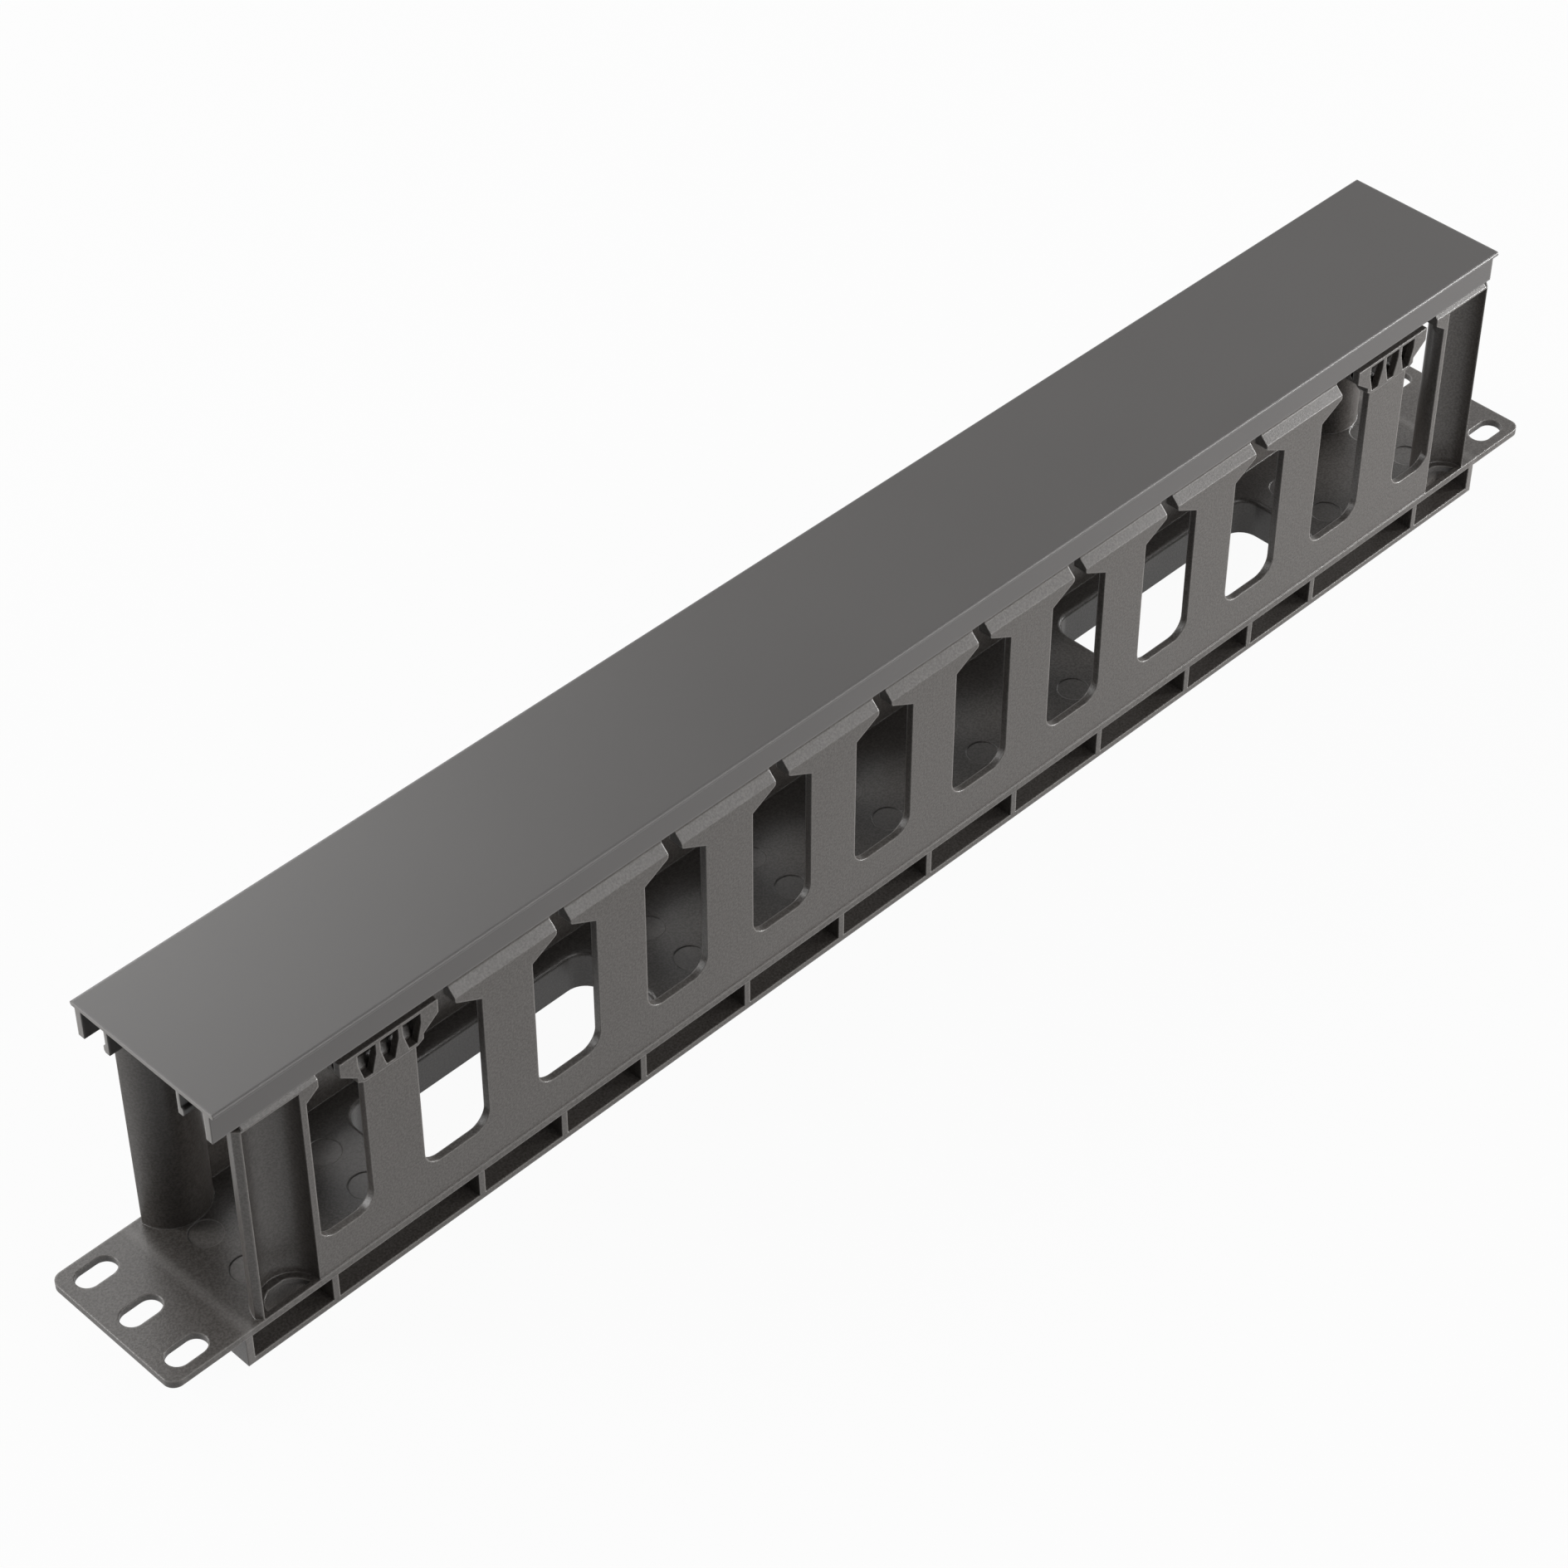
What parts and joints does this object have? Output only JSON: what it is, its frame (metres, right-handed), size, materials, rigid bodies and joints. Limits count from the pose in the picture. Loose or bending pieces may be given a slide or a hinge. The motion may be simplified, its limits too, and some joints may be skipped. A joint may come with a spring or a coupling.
{
  "type": "horizontal cable manager",
  "caption": "Rack-mount horizontal cable manager: a slotted finger duct on a one-unit panel with mounting ears, pass-through windows and a clip-on sliding cover.",
  "frame": {"origin": "middle of the base's underside", "axes": "+X along the rack width, +Y across the duct from the near row of fingers to the far row, +Z away from the rack towards the cover"},
  "size_m": [0.4826, 0.0482, 0.0854],
  "materials": {
    "base_plastic": "fine textured black moulding",
    "cover_plastic": "smooth satin black extrusion"
  },
  "bodies": {
    "duct": {"duct_base": "base_plastic"},
    "cover": {"cover": "cover_plastic"}
  },
  "joints": [
    {"name": "cover_slide", "type": "slide", "parent": "duct", "child": "cover", "axis": [1, 0, 0], "range_m": [-0.415, 0.424]}
  ]
}
